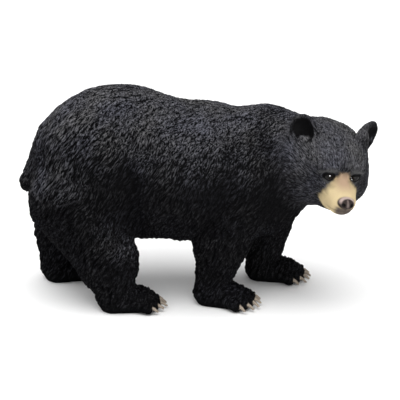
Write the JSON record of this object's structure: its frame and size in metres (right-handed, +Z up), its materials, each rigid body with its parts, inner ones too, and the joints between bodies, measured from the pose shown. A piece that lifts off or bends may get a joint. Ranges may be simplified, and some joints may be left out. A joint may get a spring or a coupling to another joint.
{
  "type": "bear figurine",
  "caption": "Walking black bear figurine, cast in one piece with carved fur and painted, head turned to its right, that stands on its flat soles.",
  "frame": {"origin": "middle of the bounding box at floor level, on the ground under the belly", "axes": "+X along the body towards the head, +Y to the bear's left, +Z up"},
  "size_m": [0.2044, 0.0972, 0.1265],
  "materials": {
    "painted_resin": "matte black paint with grey dry-brushed fur, tan muzzle, brown nose, glossy eyes and cream claws"
  },
  "bodies": {
    "root": {"bear": "painted_resin"}
  },
  "joints": []
}
